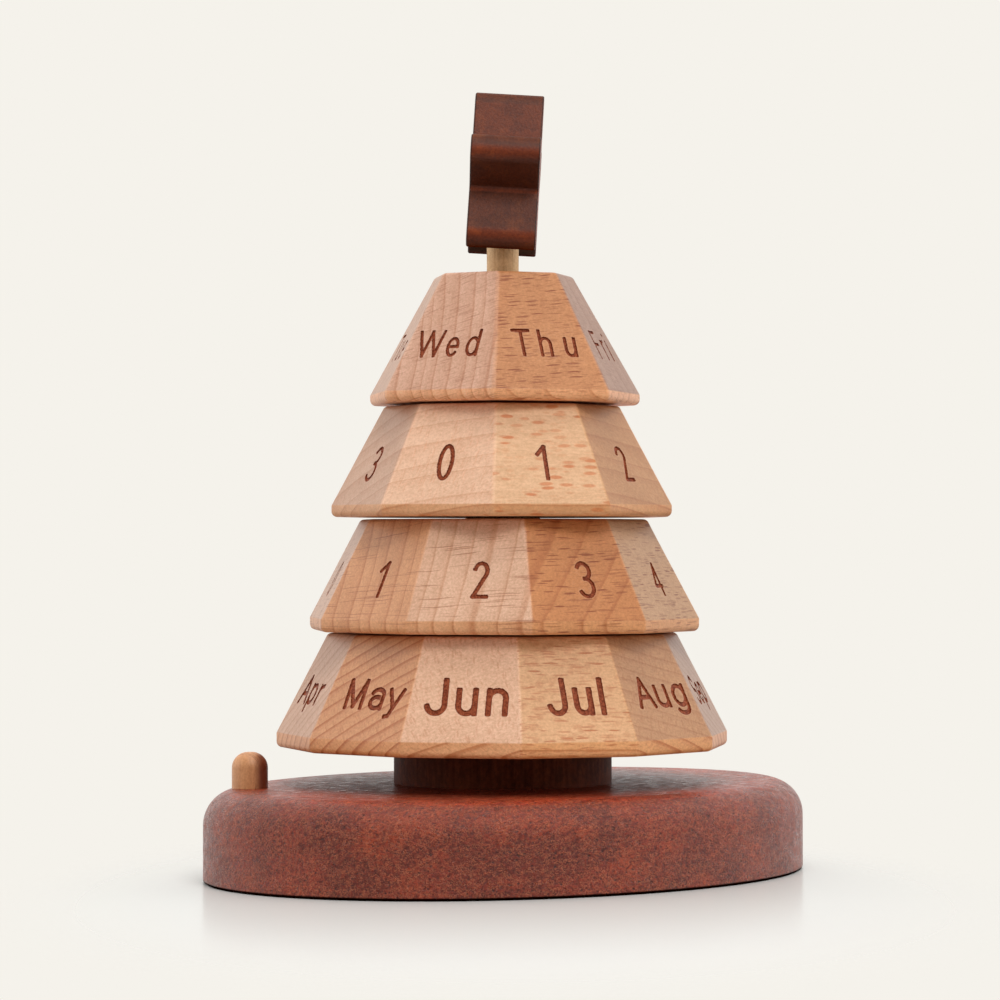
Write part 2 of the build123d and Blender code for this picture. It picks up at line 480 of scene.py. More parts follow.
def makeLettered(name, look):
    # beech with a tone for each face, and burnt letters; both come with the mesh as attributes
    material, tree, shader = newMaterial(name)
    place = woodPlace(tree, look)
    facing = vectorCalc(tree, "DOT_PRODUCT", coordinate(tree, "Normal"), look["grain"])
    cut = times(tree, calc(tree, "ABSOLUTE", facing), look["slant"])
    tone = addNode(tree, "Attribute", attribute_name="tone").outputs  # its alpha is how clearly rings show
    rings = {key: times(tree, tone["Alpha"], look["wood"][key]) for key in ("Line Amount", "Shade Amount")}
    wood = fillGroup(tree, solidBeech, place, {**look["wood"], **rings, "End Grain": cut})
    color = blendColor(tree, 1.0, wood["Color"], tone["Color"], "MULTIPLY")
    edge = addNode(tree, "Attribute", attribute_name="edge").outputs["Fac"]  # mm outside a groove's rim
    ragged, reach = noise(tree, place, *look["raggedNoise"]), look["ragged"]
    edge = plus(tree, edge, ramp(tree, ragged, noiseLow, noiseHigh, -reach, reach, smooth=False))
    # painted highlight: a pale line just outside each groove's rim
    highlight = times(tree, hump(tree, edge, *look["highlightSpan"]), look["highlight"])
    color = blendColor(tree, highlight, color, look["highlightColor"])
    halo = ramp(tree, edge, 0.0, look["haloReach"], look["halo"], 0.0)
    color = blendColor(tree, halo, color, look["burnt"])
    scorch = ramp(tree, edge, *look["scorchSpan"], 1.0, 0.0)
    rim = times(tree, ramp(tree, edge, *look["rimSpan"]), look["rimChar"])
    char = ramp(tree, noise(tree, place, *look["charNoise"]), *look["charSpan"])
    char = calc(tree, "MAXIMUM", rim, times(tree, char, look["char"]))
    color = blendColor(tree, scorch, color, blendColor(tree, char, look["burnt"], look["burntDeep"]))
    finishWood(tree, shader, color, wood["Height"], look)
    shine = ramp(tree, scorch, 0.0, 1.0, look["specular"], look["burntShine"])
    tree.links.new(shine, shader.inputs["Specular IOR Level"])
    return material


# lettering: strokes drawn as centre lines in units of the capital height

arcStep, leastCount = 12, 4  # degrees between an arc's points, and its fewest points
ringLap = 5  # degrees by which the halves of a ring run on into each other


def arc(x, y, width, height, start, end):
    # points of an ellipse's arc, from start to end in degrees
    count = max(leastCount, int(abs(end - start) / arcStep) + 1)
    angle = np.radians(np.linspace(start, end, count))
    return [np.stack([x + width * np.cos(angle), y + height * np.sin(angle)], 1)]


def bars(*corners):
    # one straight stroke between each pair of neighbouring corners
    return [np.array(pair, dtype=float) for pair in zip(corners[:-1], corners[1:])]


def ring(x, y, width, height):
    size = (x, y, width, height)
    return arc(*size, -ringLap, 180 + ringLap) + arc(*size, 180 - ringLap, 360 + ringLap)


stem, bowl, slant = 0.26, 0.18, 0.06  # room beside an upright, a round side and a slanting or open side
glyphs = {  # width, room on the left, room on the right, strokes
    "0": (0.36, bowl, bowl, ring(0.18, 0.5, 0.18, 0.5)),
    "1": (0.21, bowl, bowl, bars((0, 0.76), (0.21, 1), (0.21, 0))),
    "2": (0.37, bowl, bowl, arc(0.18, 0.77, 0.17, 0.23, 165, -30) + bars((0.327, 0.655), (0, 0), (0.37, 0))),
    "3": (0.4, bowl, bowl, arc(0.19, 0.765, 0.18, 0.235, 150, -90)
          + arc(0.19, 0.265, 0.21, 0.265, 90, -150)),
    "4": (0.42, bowl, bowl, bars((0.31, 0), (0.31, 1), (0, 0.28), (0.42, 0.28))),
    "5": (0.4, bowl, bowl, bars((0.36, 1), (0.07, 1), (0.035, 0.56))
          + arc(0.19, 0.33, 0.21, 0.33, 135, -150)),
    "6": (0.4, bowl, bowl, ring(0.2, 0.3, 0.2, 0.3) + arc(0.38, 0.3, 0.38, 0.68, 180, 95)),
    "7": (0.4, bowl, bowl, bars((0, 1), (0.4, 1), (0.12, 0))),
    "8": (0.4, bowl, bowl, ring(0.2, 0.77, 0.16, 0.23) + ring(0.2, 0.27, 0.2, 0.27)),
    "9": (0.4, bowl, bowl, ring(0.2, 0.7, 0.2, 0.3) + arc(0.02, 0.7, 0.38, 0.68, 0, -85)),
    "A": (0.62, slant, slant, bars((0, 0), (0.31, 1), (0.62, 0)) + bars((0.11, 0.34), (0.51, 0.34))),
    "D": (0.56, stem, bowl, bars((0.22, 1), (0, 1), (0, 0), (0.22, 0)) + arc(0.22, 0.5, 0.34, 0.5, 90, -90)),
    "F": (0.46, stem, slant, bars((0, 0), (0, 1), (0.46, 1)) + bars((0, 0.53), (0.4, 0.53))),
    "J": (0.46, slant, stem, bars((0.46, 1), (0.46, 0.26)) + arc(0.23, 0.26, 0.23, 0.26, 0, -168)),
    "M": (0.55, stem, stem, bars((0, 0), (0, 1), (0.275, 0.05), (0.55, 1), (0.55, 0))),
    "N": (0.56, stem, stem, bars((0, 0), (0, 1), (0.56, 0), (0.56, 1))),
    "O": (0.66, bowl, bowl, ring(0.33, 0.5, 0.33, 0.5)),
    "S": (0.5, bowl, bowl, arc(0.25, 0.75, 0.23, 0.25, 30, 270) + arc(0.25, 0.25, 0.25, 0.25, 90, -150)),
    "T": (0.6, 0.09, 0.09, bars((0, 1), (0.6, 1)) + bars((0.3, 1), (0.3, 0))),
    "W": (0.97, slant, slant, bars((0, 1), (0.24, 0), (0.485, 1), (0.73, 0), (0.97, 1))),
    "a": (0.42, bowl, 0.22, arc(0.2, 0.5, 0.2, 0.2, 160, 0) + bars((0.4, 0.5), (0.4, 0))
          + arc(0.2, 0.21, 0.2, 0.21, 75, 335)),
    "b": (0.48, stem, bowl, ring(0.24, 0.35, 0.24, 0.35) + bars((0, 1), (0, 0))),
    "c": (0.42, bowl, slant, arc(0.23, 0.35, 0.23, 0.35, 45, 315)),
    "d": (0.5, bowl, stem, ring(0.25, 0.35, 0.25, 0.35) + bars((0.5, 1), (0.5, 0))),
    "e": (0.48, bowl, bowl, arc(0.24, 0.35, 0.24, 0.35, 0, 318) + bars((0.01, 0.36), (0.48, 0.36))),
    "g": (0.48, bowl, stem, ring(0.24, 0.35, 0.24, 0.35) + bars((0.48, 0.7), (0.48, -0.08))
          + arc(0.24, -0.08, 0.24, 0.22, 0, -150)),
    "h": (0.46, stem, stem, bars((0, 0), (0, 1)) + arc(0.23, 0.46, 0.23, 0.24, 180, 0)
          + bars((0.46, 0.46), (0.46, 0))),
    "i": (0.0, stem, stem, bars((0, 0), (0, 0.7)) + bars((0, 0.95), (0, 0.97))),
    "l": (0.0, stem, stem, bars((0, 0), (0, 1))),
    "n": (0.44, stem, stem, bars((0, 0), (0, 0.7)) + arc(0.22, 0.46, 0.22, 0.24, 180, 0)
          + bars((0.44, 0.46), (0.44, 0))),
    "o": (0.48, bowl, bowl, ring(0.24, 0.35, 0.24, 0.35)),
    "p": (0.48, stem, bowl, ring(0.24, 0.35, 0.24, 0.35) + bars((0, 0.7), (0, -0.3))),
    "r": (0.26, stem, slant, bars((0, 0), (0, 0.7)) + arc(0.26, 0.42, 0.26, 0.28, 180, 85)),
    "t": (0.28, slant, slant, bars((0.12, 0.95), (0.12, 0.16)) + arc(0.26, 0.16, 0.14, 0.16, 180, 285)
          + bars((0, 0.7), (0.28, 0.7))),
    "u": (0.43, stem, stem, bars((0, 0.7), (0, 0.24)) + arc(0.215, 0.24, 0.215, 0.24, 180, 360)
          + bars((0.43, 0.7), (0.43, 0))),
    "v": (0.46, slant, slant, bars((0, 0.7), (0.23, 0), (0.46, 0.7))),
    "y": (0.46, slant, slant, bars((0, 0.7), (0.23, 0.04)) + bars((0.46, 0.7), (0.14, -0.26), (0.03, -0.29))),
}
capPower = 4.0  # how square the ends of a stroke are: 2 is round, more is squarer
capSteps = 12


def wordStrokes(word, look):
    # centre lines of a word in mm, centred on x = 0 with its feet on y = 0
    strokes = []
    pen = 0.0
    spacing = look["spacing"]
    for place, letter in enumerate(word):
        width, before, after, lines = glyphs[letter]
        wide = look["spread"] * (look["small"] if letter.islower() else 1.0)
        pen += before * spacing if place else 0.0
        strokes += [line * (wide, 1.0) + (pen, 0.0) for line in lines]
        pen += width * wide
        pen += after * spacing if place < len(word) - 1 else 0.0
    return [(line - (pen / 2, 0.0)) * look["capital"] for line in strokes]


def strokeOutline(line, reach):
    # closed loop at a fixed distance from a centre line, with squarish ends
    along = np.gradient(line, axis=0)
    along /= np.linalg.norm(along, axis=1, keepdims=True)
    across = np.stack([-along[:, 1], along[:, 0]], 1)
    turn = np.radians(np.linspace(0, 180, capSteps + 1))[1:-1, None]
    wide, deep = np.cos(turn), np.sin(turn)
    out = reach / (np.abs(wide) ** capPower + deep ** capPower) ** (1 / capPower)
    endCap = line[-1] + out * (across[-1] * wide + along[-1] * deep)
    startCap = line[0] + out * (-across[0] * wide - along[0] * deep)
    return np.concatenate([line + across * reach, endCap, (line - across * reach)[::-1], startCap])


def distanceTo(points, strokes):
    # shortest distance from each point to any centre line; past an end it grows squarishly, like the ends
    nearest = np.full(len(points), np.inf)
    for line in strokes:
        steps = line[1:] - line[:-1]
        length = np.linalg.norm(steps, axis=1)
        along = ((points[:, None, :] - line[None, :-1]) * steps).sum(2) / length
        normal = np.stack([-steps[:, 1], steps[:, 0]], 1) / length[:, None]
        across = np.abs(((points[:, None, :] - line[None, :-1]) * normal).sum(2))
        past = np.maximum(np.maximum(-along, along - length), 0)
        gap = np.hypot(past, across)
        square = (past ** capPower + across ** capPower) ** (1 / capPower)
        gap[:, 0] = np.where(along[:, 0] < 0, square[:, 0], gap[:, 0])
        gap[:, -1] = np.where(along[:, -1] > length[-1], square[:, -1], gap[:, -1])
        nearest = np.minimum(nearest, gap.min(1))
    return nearest


# tiers: an upright band, leaning faces cut by letters, eased edges and a bore

tierShared = {  # lengths in mm
    "cornerRound": 1.2,  # radius of the upright edges
    "cornerSteps": 5,
    "footEase": 0.8,  # how fast that radius shrinks round the edge under the band
    "topEase": 0.6,  # and round the top edge
    "leastRound": 0.12,
    "rimRound": 1.1,
    "rimSteps": 5,
    "rimInset": 0.2,  # how far inside their edges the flats under and on top begin
    "rimTuck": 0.1,  # how much sharper their corners are there
    "bandRound": 0.6,  # softness of the edge where the band meets the leaning faces
    "bandShares": (1.0, 0.6, 0.0),  # how the band's tone ends over that edge
    "boreRadius": 3.1,
    "leanRows": 9,
    "wander": 0.03,  # how far hand sanding took the upright edges in and out
    "wanderLimit": 0.02,
    "wanderBeats": (5.0, 11.0, 23.0),
    "border": 0.25,  # flat rim of a face inside its rounded edges
    "grooveDepth": 0.26,
    "grooveWall": 0.07,  # how far the sides of a groove lean in
    "grooveCore": 0.45,  # share of a stroke's width that is its flat middle
    "thinning": 0.9,  # how much of a word's own size its strokes follow
    "scorch": 0.22,  # browned wood beside a groove
    "wallSnap": 0.12,  # nearer than this share to a wall's end, a point is level with the face or the floor
    "edgeHighlight": 0.1,  # how much paler a painted highlight makes the sanded upright edges
    "bandShare": 0.75,  # how far the sawn band keeps its own, more orange tone
    "smoothAngle": 34,
}
farFromGroove, deepInGroove = 0.3, -0.4  # limits of the distance to a groove's rim, mm
pointGap = 0.0001  # points of a face nearer than this are one, mm
flatGap = 0.001  # triangles flatter than this have no area, mm
joinGap = 0.002 * mm  # points of a tier nearer than this become one

faceTones = {  # what each cut of the wood does to its colour, with painted light and shade from face to face; the greyer tones on the faces turned to the sides are partly a painted sheen
    "fair": (1.15, 1.18, 1.22),
    "pink": (1.08, 1.08, 1.10),
    "blush": (1.02, 1.02, 1.05),
    "rose": (0.92, 0.87, 0.92),
    "orange": (0.84, 0.65, 0.46),
    "red": (0.77, 0.50, 0.26),
    "pale": (1.06, 1.03, 0.86),
    "tan": (0.96, 0.87, 0.67),
    "dull": (0.65, 0.53, 0.37),
    "stone": (0.64, 0.58, 0.46),
    "amber": (0.81, 0.57, 0.35),
    "grey": (0.76, 0.75, 0.77),
    "ash": (0.54, 0.54, 0.58),
    "dusk": (0.47, 0.42, 0.43),
}

# faces: word, tone, and how clearly the rings show; the first stands at the bearing firstFace
# changes: a word's size, extra width, and shift to the right and up in mm
plainLetters = {"spread": 1.0, "small": 1.0, "spacing": 1.0}  # widths of letters, of small ones, and gaps
tierLooks = {
    "month": {
        "seed": 5, "bottomAcross": 84.7, "topAcross": 65.4, "band": 2.8, "turn": 20.45, "firstFace": 245.45,
        "faces": [
            ("Jul", "tan", 0.12), ("Aug", "dull", 0.45), ("Sep", "ash", 0.6), ("Oct", "pink", 0.5),
            ("Nov", "pale", 0.2), ("Dec", "dull", 0.5), ("Jan", "pink", 0.6), ("Feb", "orange", 0.3),
            ("Mar", "pale", 1.0), ("Apr", "grey", 0.6), ("May", "orange", 1.0), ("Jun", "pink", 0.1),
        ],
        "bandTone": (1.12, 0.86, 0.52, 1.2),
        "lettering": {
            **plainLetters, "capital": 6.4, "stroke": 1.1, "foot": 31.45, "spread": 1.08, "spacing": 0.75,
        },
        "changes": {
            "Jul": (1.0, 0.9, 0.6, 0.0), "Aug": (0.84, 1.14, 0.8, 0.8), "Sep": (0.8, 1.0, 0.0, 0.8),
            "Apr": (0.8, 1.1, -0.7, 0.8), "May": (0.82, 1.2, 1.5, 0.6), "Jun": (1.0, 1.0, 0.35, 0.0),
        },
    },
    "units": {
        "seed": 5, "bottomAcross": 74.1, "topAcross": 54.5, "band": 2.4, "turn": 18.05, "firstFace": 252.05,
        "faces": [
            ("3", "red", 0.8), ("4", "stone", 0.1), ("5", "pink", 0.5), ("6", "pale", 0.8),
            ("7", "orange", 1.0), ("8", "rose", 0.6), ("9", "dull", 0.2), ("0", "grey", 0.5),
            ("1", "orange", 1.0), ("2", "blush", 0.8),
        ],
        "bandTone": (1.1, 0.86, 0.58, 1.2),
        "lettering": {**plainLetters, "capital": 6.65, "stroke": 0.82, "foot": 52.05},
        "changes": {
            "1": (1.0, 1.0, 0.8, 0.0), "2": (1.0, 1.0, 1.5, 0.0),
            "3": (1.0, 1.0, 1.1, 0.0), "4": (0.92, 1.0, 0.8, 0.2),
        },
    },
    "tens": {
        "seed": 4, "bottomAcross": 64.5, "topAcross": 44.5, "band": 2.2, "turn": 22.8, "firstFace": 242.8,
        "faces": [
            ("1", "pale", 0.3), ("2", "dull", 1.0), ("3", "pink", 0.7), ("0", "orange", 0.3),
            ("1", "rose", 0.7), ("2", "pale", 1.0), ("", "dull", 0.5), ("3", "grey", 1.0),
            ("0", "fair", 0.8),
        ],
        "bandTone": (1.12, 0.9, 0.6, 1.6),
        "lettering": {**plainLetters, "capital": 6.5, "stroke": 0.82, "foot": 73.25},
        "changes": {"0": (1.03, 1.0, 0.1, 0.0), "1": (1.0, 1.0, -0.6, 0.0), "2": (1.0, 1.0, 0.1, 0.0)},
    },
    "weekday": {
        "seed": 7, "bottomAcross": 52.6, "topAcross": 26.7, "band": 2.0, "turn": 16.5, "firstFace": 247.9,
        "faces": [
            ("Thu", "amber", 0.3), ("Fri", "dusk", 0.8), ("Sat", "pink", 0.6), ("Sun", "pale", 0.3),
            ("Mon", "dull", 0.8), ("Tue", "grey", 0.9), ("Wed", "rose", 1.0),
        ],
        "bandTone": (1.45, 1.18, 0.9, 1.4),
        "lettering": {
            **plainLetters, "capital": 5.15, "stroke": 0.66, "foot": 95.9, "small": 0.82, "spacing": 1.12,
        },
        "changes": {"Wed": (1.0, 1.0, -0.6, 0.0), "Thu": (1.0, 1.0, 0.5, 0.0), "Fri": (1.05, 1.15, 0.2, 0.0)},
    },
}


def unit(vector):
    return vector / np.linalg.norm(vector)


def bentCorner(before, corner, after, radius, steps):
    # points of the arc that rounds one corner of a profile; each point is (distance out, height)
    before, corner, after = (np.array(p, dtype=float) for p in (before, corner, after))
    toBefore, toAfter = unit(before - corner), unit(after - corner)
    half = math.acos(np.clip(toBefore @ toAfter, -1, 1)) / 2
    centre = corner + unit(toBefore + toAfter) * radius / math.sin(half)
    first = corner + toBefore * radius / math.tan(half) - centre
    last = corner + toAfter * radius / math.tan(half) - centre
    sweep = math.pi - 2 * half
    share = np.linspace(0, 1, steps + 1)[:, None]
    return centre + (np.sin((1 - share) * sweep) * first + np.sin(share * sweep) * last) / math.sin(sweep)


def tierRows(look, bottom, top):
    # profile of a tier as rows of (flat's distance from the axis, height, corner radius, band share),
    # with the first and the last row of its leaning faces
    shared = tierShared
    narrow = math.cos(math.pi / len(look["faces"]))
    wideOut = look["bottomAcross"] / 2 * narrow
    slimOut = look["topAcross"] / 2 * narrow
    foot, waist, rim = (wideOut, bottom), (wideOut, bottom + look["band"]), (slimOut, top)
    footArc = bentCorner((0, bottom), foot, waist, shared["rimRound"], shared["rimSteps"])
    waistArc = bentCorner(foot, waist, rim, shared["bandRound"], len(shared["bandShares"]) - 1)
    rimArc = bentCorner(waist, rim, (0, top), shared["rimRound"], shared["rimSteps"])
    corner, inset, tuck = shared["cornerRound"], shared["rimInset"], shared["rimTuck"]
    rows = [(out, z, corner - (wideOut - out) * shared["footEase"], 1.0) for out, z in footArc]
    rows += [(out, z, corner, share) for (out, z), share in zip(waistArc, shared["bandShares"])]
    lower = len(rows)
    start, end = waistArc[-1], rimArc[0]
    for share in np.linspace(0, 1, shared["leanRows"] + 2)[1:-1]:
        rows.append((*(start + (end - start) * share), corner, 0.0))
    upper = len(rows) + 1
    rows += [(out, z, corner - max(0.0, (end[0] - out) * shared["topEase"]), 0.0) for out, z in rimArc]
    rows.insert(0, (rows[0][0] - inset, bottom, rows[0][2] - tuck, 1.0))
    rows.append((rows[-1][0] - inset, top, rows[-1][2] - tuck, 0.0))
    return np.array(rows), lower, upper


def tierGrid(look, rows):
    # every row is a many-sided ring; each corner is an arc round a centre that lies out from the axis by
    # the flat's distance less the radius, over the cosine of half a face's angle. The radius wanders a
    # little from row to row, as hand sanding leaves it.
    shared = tierShared
    faces, steps = len(look["faces"]), shared["cornerSteps"]
    half = math.pi / faces
    corner = math.radians(look["turn"]) + 2 * half * np.arange(faces)
    swing = np.linspace(-half, half, steps + 1)
    angle = corner[:, None] + swing[None, :]
    out, height = rows[:, 0, None, None], rows[:, 1, None, None]
    radius = np.maximum(rows[:, 2], shared["leastRound"])[:, None, None]
    centre = (out - radius) / math.cos(half)
    rng = np.random.default_rng(look["seed"])
    level = np.linspace(0, 1, len(rows))[:, None]

    def wave(beat):
        size = rng.normal(0, shared["wander"], (1, faces))
        return size * np.sin(level * beat + rng.uniform(0, anyPhase, (1, faces)))

    waver = sum(wave(beat) for beat in shared["wanderBeats"])
    bulge = 1 - (swing / half) ** 2  # nothing where the round meets the flats, most at its middle
    radius = radius + np.minimum(waver, shared["wanderLimit"])[:, :, None] * bulge[None, None, :]
    x = centre * np.cos(corner)[None, :, None] + radius * np.cos(angle)[None]
    y = centre * np.sin(corner)[None, :, None] + radius * np.sin(angle)[None]
    return np.stack([x, y, height + 0 * x], 3).reshape(len(rows), faces * (steps + 1), 3)


def withBore(grid, bottom, top):
    # the bore is a ring under the grid and one on top, and the first again, which closes the wall between
    bearing = np.arctan2(grid[0, :, 1], grid[0, :, 0])
    circle = tierShared["boreRadius"] * np.stack([np.cos(bearing), np.sin(bearing)], 1)
    low, high = (np.concatenate([circle, np.full((len(circle), 1), z)], 1)[None] for z in (bottom, top))
    return np.concatenate([low, grid, high, low])


def faceOrder(look):
    # which of the look's faces stands in each place, counted round from the rest turn
    count = len(look["faces"])
    half = math.pi / count
    middles = math.radians(look["turn"]) + half * (2 * np.arange(count) + 1)
    around = (middles - math.radians(look["firstFace"])) % math.tau
    return np.round(around / (2 * half)).astype(int) % count


def gridTones(look, rows, tones):
    # tone of every point of the grid: the faces' own, mixed with the band's, and plain in the bore;
    # each upright edge passes from one face's tone to the next, with a painted highlight midway
    shared = tierShared
    share = np.linspace(0, 1, shared["cornerSteps"] + 1)[None, :, None]
    before, after = np.roll(tones, 1, 0)[:, None, :], tones[:, None, :]
    mixed = before + (after - before) * (3 * share**2 - 2 * share**3)
    columns = (mixed * (1 + shared["edgeHighlight"] * 4 * share * (1 - share))).reshape(-1, 4)
    bandShare = np.concatenate([[0], rows[:, 3], [0, 0]])[:, None, None]
    faceShare = np.concatenate([[0], np.ones(len(rows)), [0, 0]])[:, None, None]
    plain = 1 + (columns[None] - 1) * faceShare
    return plain + (np.array(look["bandTone"]) - plain) * bandShare * shared["bandShare"]


def fillLoops(loops, sides):
    # triangles between closed loops of flat points, apart from those with all corners on one of two sides
    begins = np.cumsum([0] + [len(loop) for loop in loops])
    links = [
        pair
        for begin, loop in zip(begins, loops)
        for pair in zip(range(begin, begin + len(loop)), [*range(begin + 1, begin + len(loop)), begin])
    ]
    found = delaunay_2d_cdt([Vector(p) for p in np.concatenate(loops)], links, [], 0, pointGap, False)
    spots = np.array([tuple(v) for v in found[0]])
    triangles = np.array(found[2])
    for side in sides:
        run = unit(side[-1] - side[0])
        beside = np.abs((spots - side[0]) @ (run[1], -run[0])) < flatGap
        triangles = triangles[~beside[triangles].all(1)]
    return spots, triangles


def engravedFace(word, look, left, right):
    # flat face between two columns of points, cut by the word's grooves
    shared = tierShared
    origin = (left[0] + right[0]) / 2
    across = unit(right[0] - left[0])
    up = unit((left[-1] + right[-1]) / 2 - origin)
    sides = [np.stack([(column - origin) @ across, (column - origin) @ up], 1) for column in (left, right)]
    width = shared["border"]
    inner = [sides[0][0] + (width, width), sides[1][0] + (-width, width),
             sides[1][-1] + (-width, -width), sides[0][-1] + (width, -width)]
    loops = [np.concatenate([sides[0], sides[1][::-1]]), np.array(inner)]
    strokes = []
    lettering = look["lettering"]
    size, wider, aside, raised = look["changes"].get(word, (1.0, 1.0, 0.0, 0.0))
    half = lettering["stroke"] / 2 * (1 - (1 - size) * shared["thinning"])
    if word:
        foot = (lettering["foot"] - origin[2] + raised) / up[2]
        strokes = [line * (size * wider, size) + (aside, foot) for line in wordStrokes(word, lettering)]
        reaches = (half + shared["scorch"], half, half - shared["grooveWall"], half * shared["grooveCore"])
        loops += [strokeOutline(line, reach) for line in strokes for reach in reaches]
    spots, triangles = fillLoops(loops, sides)
    away = distanceTo(spots, strokes) - half
    wall, snap = -away / shared["grooveWall"], shared["wallSnap"]
    wall = np.where(wall < snap, 0, np.where(wall > 1 - snap, 1, wall))
    solid = origin + spots[:, :1] * across + spots[:, 1:] * up
    solid = solid - wall[:, None] * shared["grooveDepth"] * np.cross(across, up)
    return solid, triangles, np.clip(away, deepInGroove, farFromGroove)


def linkPiece(name, mesh, body, node, smoothAngle):
    mesh.polygons.foreach_set("use_smooth", np.ones(len(mesh.polygons), dtype=bool))
    mesh.set_sharp_from_angle(angle=math.radians(smoothAngle))
    piece = bpy.data.objects.new(name, mesh)
    bpy.context.scene.collection.objects.link(piece)
    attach(piece, body)
    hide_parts(node)
    return piece


def makeTier(name, look, material):
    node = name + "_tier"
    low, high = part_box(node)
    bottom, top = low.z / mm, high.z / mm
    rows, lower, upper = tierRows(look, bottom, top)
    grid = withBore(tierGrid(look, rows), bottom, top)
    lower, upper = lower + 1, upper + 1  # the bore's ring comes first
    count, columns = grid.shape[:2]
    index = np.arange(count * columns).reshape(count, columns)
    quads = np.stack([index[:-1], np.roll(index[:-1], -1, 1), np.roll(index[1:], -1, 1), index[1:]], 2)
    steps = tierShared["cornerSteps"]
    leaning = np.zeros((count - 1, columns), dtype=bool)
    leaning[lower:upper, steps::steps + 1] = True
    polygons = quads[~leaning].tolist()
    words, toneNames, figures = zip(*[look["faces"][place] for place in faceOrder(look)])
    tones = np.array([(*faceTones[tone], figure) for tone, figure in zip(toneNames, figures)])
    points, edges = [grid.reshape(-1, 3)], [np.full(count * columns, farFromGroove)]
    colors = [gridTones(look, rows, tones).reshape(-1, 4)]
    total = count * columns
    for place, word in enumerate(words):
        left = place * (steps + 1) + steps
        right = (left + 1) % columns
        sides = (grid[lower:upper + 1, left], grid[lower:upper + 1, right])
        solid, triangles, edge = engravedFace(word, look, *sides)
        points.append(solid)
        edges.append(edge)
        colors.append(np.broadcast_to(tones[place], (len(solid), 4)))
        polygons += (triangles + total).tolist()
        total += len(solid)
    points = (np.concatenate(points) + (0, axleY, 0)) * mm
    mesh = bpy.data.meshes.new(node + "_wood")
    mesh.from_pydata(points.tolist(), [], polygons)
    edges, colors = (np.concatenate(values).astype(np.float32).ravel() for values in (edges, colors))
    mesh.attributes.new("edge", "FLOAT", "POINT").data.foreach_set("value", edges)
    mesh.attributes.new("tone", "FLOAT_COLOR", "POINT").data.foreach_set("color", colors)
    mesh.materials.append(material)
    work = bmesh.new()
    work.from_mesh(mesh)
    bmesh.ops.remove_doubles(work, verts=work.verts, dist=joinGap)
    bmesh.ops.recalc_face_normals(work, faces=work.faces)
    openEdges = sum(not edge.is_manifold for edge in work.edges)
    work.to_mesh(mesh)
    work.free()
    print(node, len(mesh.vertices), "points", len(mesh.polygons), "faces", openEdges, "open edges")
    return linkPiece(node + "_wood", mesh, name + "_ring", node, tierShared["smoothAngle"])


beech = {
    "Wood": srgb(228, 181, 147), "Late Wood": srgb(190, 122, 78), "Ray": srgb(158, 86, 44),
    "Line Amount": 0.55, "Shade Amount": 0.22,
}
lettered = {  # lengths in mm, measured outward from the rim of a groove
    "roughness": 0.44, "specular": 0.55, "bump": 0.4, "bumpDepth": 0.035, "slant": 1.0,
    "burnt": srgb(170, 88, 56), "burntDeep": srgb(106, 40, 20), "burntShine": 0.12,
    "ragged": 0.07, "raggedNoise": ((2.2, 2.2, 2.2), 3.0, 0.75),  # how far the edge of the burn strays
    # painted highlight: a pale line just outside each groove's rim
    "highlight": 0.12, "highlightSpan": (0.03, 0.1, 0.13, 0.22), "highlightColor": srgb(240, 206, 178),
    "halo": 0.3, "haloReach": 0.09,
    "scorchSpan": (-0.05, 0.015),
    "char": 0.85, "charNoise": ((1.8, 1.8, 1.8), 3.0, 0.75, (5.0, 3.0, 8.0)), "charSpan": (0.35, 0.64),
    "rimChar": 0.75, "rimSpan": (-0.24, -0.06),
}
tierWoods = {
    "weekday": {
        **axesFrom(175.0, 18.0), "shift": (0.0, 0.0, 3.0),
        "wood": {
            **beech, "Ring Gap": 2.4, "Pith": 160.0, "Fine Amount": 0.42,
            "Ray Share": 0.38, "Ray Length": 3.8, "Ray Width": 0.34, "Ray Amount": 0.9,
        },
    },
    "tens": {
        **axesFrom(153.0, 118.0), "shift": (5.0, 0.0, 0.0),
        "wood": {
            **beech, "Ring Gap": 3.4, "Pith": 80.0, "Line Amount": 0.45,
            "Fine Amount": 0.22, "Fine Reach": 3.5, "Grit Amount": 0.1, "Ray": srgb(204, 110, 46),
            "Ray Length": 3.6, "Ray Reach": 1.1, "Ray Width": 0.85, "Ray Share": 0.64, "Ray Amount": 0.85,
        },
    },
    "units": {
        **axesFrom(190.0, 5.0), "shift": (2.0, 9.0, 0.0), "slant": 0.7,
        "wood": {
            **beech, "Ring Gap": 3.4, "Pith": 160.0, "Line Start": 0.7, "Line Amount": 0.6,
            "Ray Share": 0.4, "Ray Width": 0.3, "Fine Amount": 0.6, "Fine Reach": 14.0,
            "Fine Length": 5.0, "Fine Share": 0.42,
        },
    },
    "month": {
        **axesFrom(155.0, 132.0), "shift": (0.0, 4.0, 8.0), "slant": 1.2,
        "wood": {
            **beech, "Ring Gap": 2.3, "Pith": 110.0, "Line Start": 0.6, "Line Amount": 0.85, "Waver": 0.14,
            "Ray Length": 4.4, "Ray Reach": 0.5, "Ray Width": 0.6, "Ray Share": 0.8, "Ray Amount": 0.75,
            "Ray": srgb(184, 98, 46), "Fine Amount": 0.3, "Fine Reach": 2.2, "Fine Share": 0.9,
        },
    },
}
for name, look in tierLooks.items():
    low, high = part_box(name + "_tier")
    wood = {**lettered, **tierWoods[name], "centre": (0, axleY, (low.z + high.z) / 2 / mm)}
    makeTier(name, look, makeLettered(name + "_beech", wood))

# base: an oval slab with a full round shoulder

